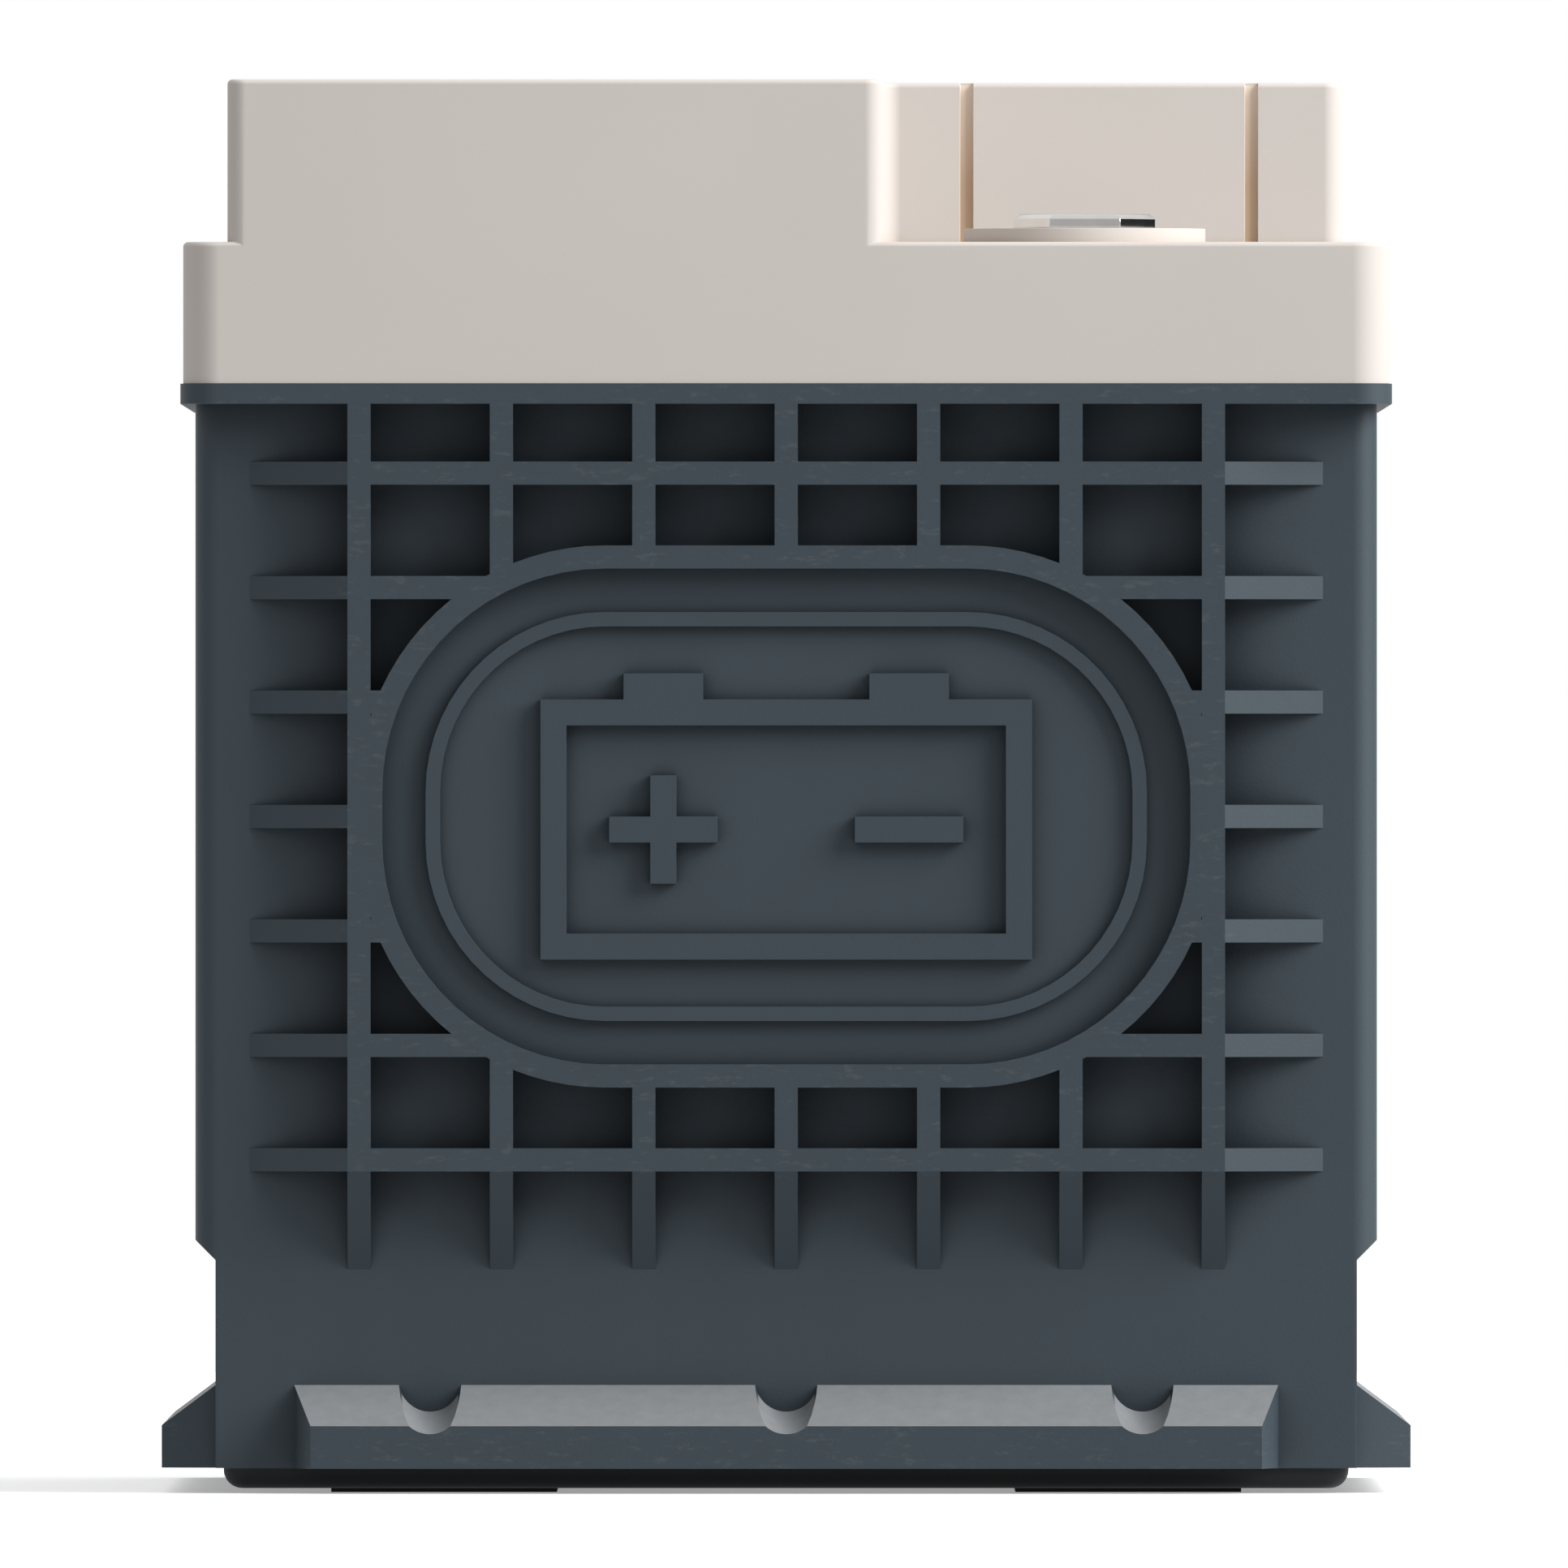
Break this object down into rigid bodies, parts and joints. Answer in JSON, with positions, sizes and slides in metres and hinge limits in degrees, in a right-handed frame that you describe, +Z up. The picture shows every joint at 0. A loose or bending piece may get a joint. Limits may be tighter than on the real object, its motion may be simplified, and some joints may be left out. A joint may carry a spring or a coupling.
{
  "type": "sealed lead-acid battery",
  "caption": "Box-shaped sealed battery: dark ribbed container with hold-down ledges, pale stepped lid, threaded terminals in corner recesses, lead cells and relief valves inside.",
  "frame": {"origin": "on the ground, under the middle of the battery", "axes": "+X across the battery towards the terminals' side, +Y along it from the positive terminal's end to the negative terminal's end, +Z up"},
  "size_m": [0.173, 0.26, 0.1956],
  "materials": {
    "case_plastic": "satin moulded polypropylene",
    "lid_plastic": "satin moulded polypropylene",
    "terminal_metal": "tin-plated, machined",
    "lead": "cast lead alloy, dull",
    "positive_paste": "lead dioxide paste on a grid, matt",
    "negative_paste": "spongy lead paste on a grid, matt",
    "glass_mat": "glass-fibre mat",
    "valve_rubber": "moulded rubber",
    "seal_rubber": "flat rubber ring",
    "porous_plastic": "sintered, porous"
  },
  "bodies": {
    "casing": {"container": "case_plastic", "lid": "lid_plastic", "vent_cover": "lid_plastic", "flame_arrestor_front": "porous_plastic", "flame_arrestor_rear": "porous_plastic", "terminal_positive": "terminal_metal", "terminal_post_positive": "lead", "terminal_seal_positive": "seal_rubber", "terminal_negative": "terminal_metal", "terminal_post_negative": "lead", "terminal_seal_negative": "seal_rubber", "cell_1_positive_plates": "positive_paste", "cell_1_negative_plates": "negative_paste", "cell_1_separators": "glass_mat", "cell_1_positive_strap": "lead", "cell_1_negative_strap": "lead", "cell_2_positive_plates": "positive_paste", "cell_2_negative_plates": "negative_paste", "cell_2_separators": "glass_mat", "cell_2_positive_strap": "lead", "cell_2_negative_strap": "lead", "cell_3_positive_plates": "positive_paste", "cell_3_negative_plates": "negative_paste", "cell_3_separators": "glass_mat", "cell_3_positive_strap": "lead", "cell_3_negative_strap": "lead", "cell_4_positive_plates": "positive_paste", "cell_4_negative_plates": "negative_paste", "cell_4_separators": "glass_mat", "cell_4_positive_strap": "lead", "cell_4_negative_strap": "lead", "cell_5_positive_plates": "positive_paste", "cell_5_negative_plates": "negative_paste", "cell_5_separators": "glass_mat", "cell_5_positive_strap": "lead", "cell_5_negative_strap": "lead", "cell_6_positive_plates": "positive_paste", "cell_6_negative_plates": "negative_paste", "cell_6_separators": "glass_mat", "cell_6_positive_strap": "lead", "cell_6_negative_strap": "lead", "intercell_weld_1": "lead", "intercell_weld_2": "lead", "intercell_weld_3": "lead", "intercell_weld_4": "lead", "intercell_weld_5": "lead"},
    "valve_1": {"valve_cap_1": "valve_rubber"},
    "valve_2": {"valve_cap_2": "valve_rubber"},
    "valve_3": {"valve_cap_3": "valve_rubber"},
    "valve_4": {"valve_cap_4": "valve_rubber"},
    "valve_5": {"valve_cap_5": "valve_rubber"},
    "valve_6": {"valve_cap_6": "valve_rubber"}
  },
  "joints": [
    {"name": "valve_lift_1", "type": "slide", "parent": "casing", "child": "valve_1", "axis": [0, 0, 1], "range_m": [0, 0.0008], "stiffness_N_per_m": 500, "springref_m": -0.0015},
    {"name": "valve_lift_2", "type": "slide", "parent": "casing", "child": "valve_2", "axis": [0, 0, 1], "range_m": [0, 0.0008], "stiffness_N_per_m": 500, "springref_m": -0.0015},
    {"name": "valve_lift_3", "type": "slide", "parent": "casing", "child": "valve_3", "axis": [0, 0, 1], "range_m": [0, 0.0008], "stiffness_N_per_m": 500, "springref_m": -0.0015},
    {"name": "valve_lift_4", "type": "slide", "parent": "casing", "child": "valve_4", "axis": [0, 0, 1], "range_m": [0, 0.0008], "stiffness_N_per_m": 500, "springref_m": -0.0015},
    {"name": "valve_lift_5", "type": "slide", "parent": "casing", "child": "valve_5", "axis": [0, 0, 1], "range_m": [0, 0.0008], "stiffness_N_per_m": 500, "springref_m": -0.0015},
    {"name": "valve_lift_6", "type": "slide", "parent": "casing", "child": "valve_6", "axis": [0, 0, 1], "range_m": [0, 0.0008], "stiffness_N_per_m": 500, "springref_m": -0.0015}
  ]
}
